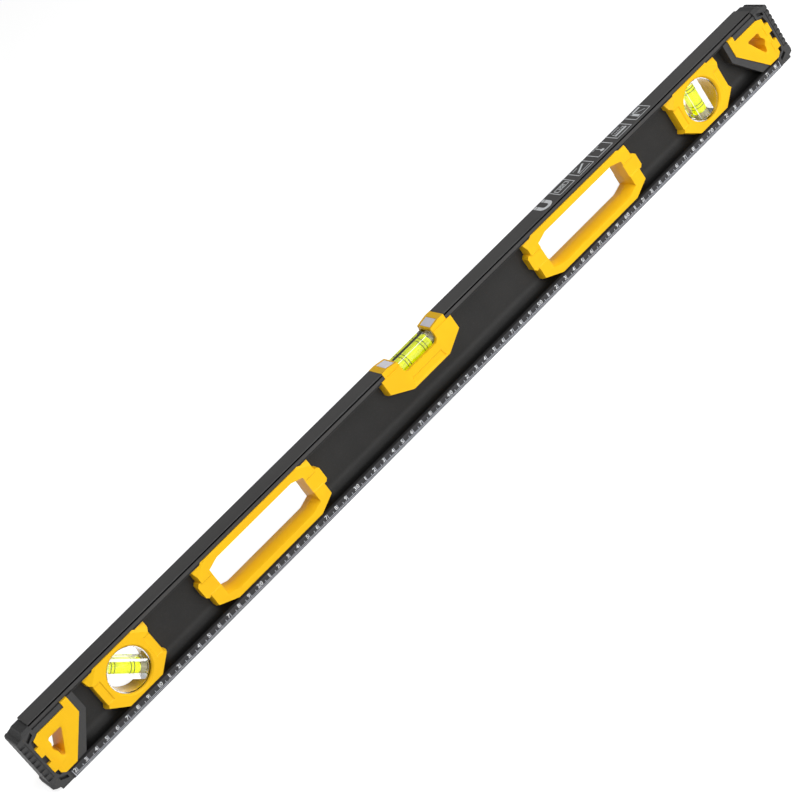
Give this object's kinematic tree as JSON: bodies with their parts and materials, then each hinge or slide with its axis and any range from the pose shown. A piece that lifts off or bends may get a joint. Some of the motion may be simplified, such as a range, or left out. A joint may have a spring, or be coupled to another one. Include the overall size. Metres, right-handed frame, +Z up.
{
  "type": "magnetic spirit level",
  "caption": "Long spirit level with an I-section metal body, round end vials, a top vial, moulded finger grips, ribbed end caps and magnets in its working face.",
  "frame": {"origin": "middle of the working face that the level stands on", "axes": "+X along the level toward the plumb vial, +Z up to the top face, -Y toward the ruler face"},
  "size_m": [0.8024, 0.0246, 0.0538],
  "materials": {
    "profile_coat": "satin dark grey powder coat on extruded aluminium, with printed ruler marks",
    "moulded_yellow": "fine satin yellow moulded plastic",
    "cap_black": "matt black shock-absorbing moulding",
    "sight_white": "smooth white plastic",
    "vial_clear": "clear cast acrylic",
    "vial_fluid": "bright yellow-green fluid",
    "vial_plug": "tinted end plug",
    "magnet_metal": "nickel-plated magnet"
  },
  "bodies": {
    "root": {"profile": "profile_coat", "end_cap_left": "cap_black", "hang_insert_left": "moulded_yellow", "sight_plate_left": "sight_white", "grip_front_left": "moulded_yellow", "vial_housing_front_left": "moulded_yellow", "grip_rear_left": "moulded_yellow", "vial_housing_rear_left": "moulded_yellow", "end_cap_right": "cap_black", "hang_insert_right": "moulded_yellow", "sight_plate_right": "sight_white", "grip_front_right": "moulded_yellow", "vial_housing_front_right": "moulded_yellow", "grip_rear_right": "moulded_yellow", "vial_housing_rear_right": "moulded_yellow", "centre_housing_front": "moulded_yellow", "centre_housing_rear": "moulded_yellow", "vial_block_centre": "vial_clear", "vial_fluid_centre": "vial_fluid", "vial_plug_centre": "vial_plug", "vial_block_miter": "vial_clear", "vial_fluid_miter": "vial_fluid", "vial_plug_miter": "vial_plug", "vial_block_plumb": "vial_clear", "vial_fluid_plumb": "vial_fluid", "vial_plug_plumb": "vial_plug", "vial_lens_miter": "vial_clear", "vial_lens_plumb": "vial_clear", "magnet_1": "magnet_metal", "magnet_2": "magnet_metal", "magnet_3": "magnet_metal", "magnet_4": "magnet_metal"}
  },
  "joints": []
}
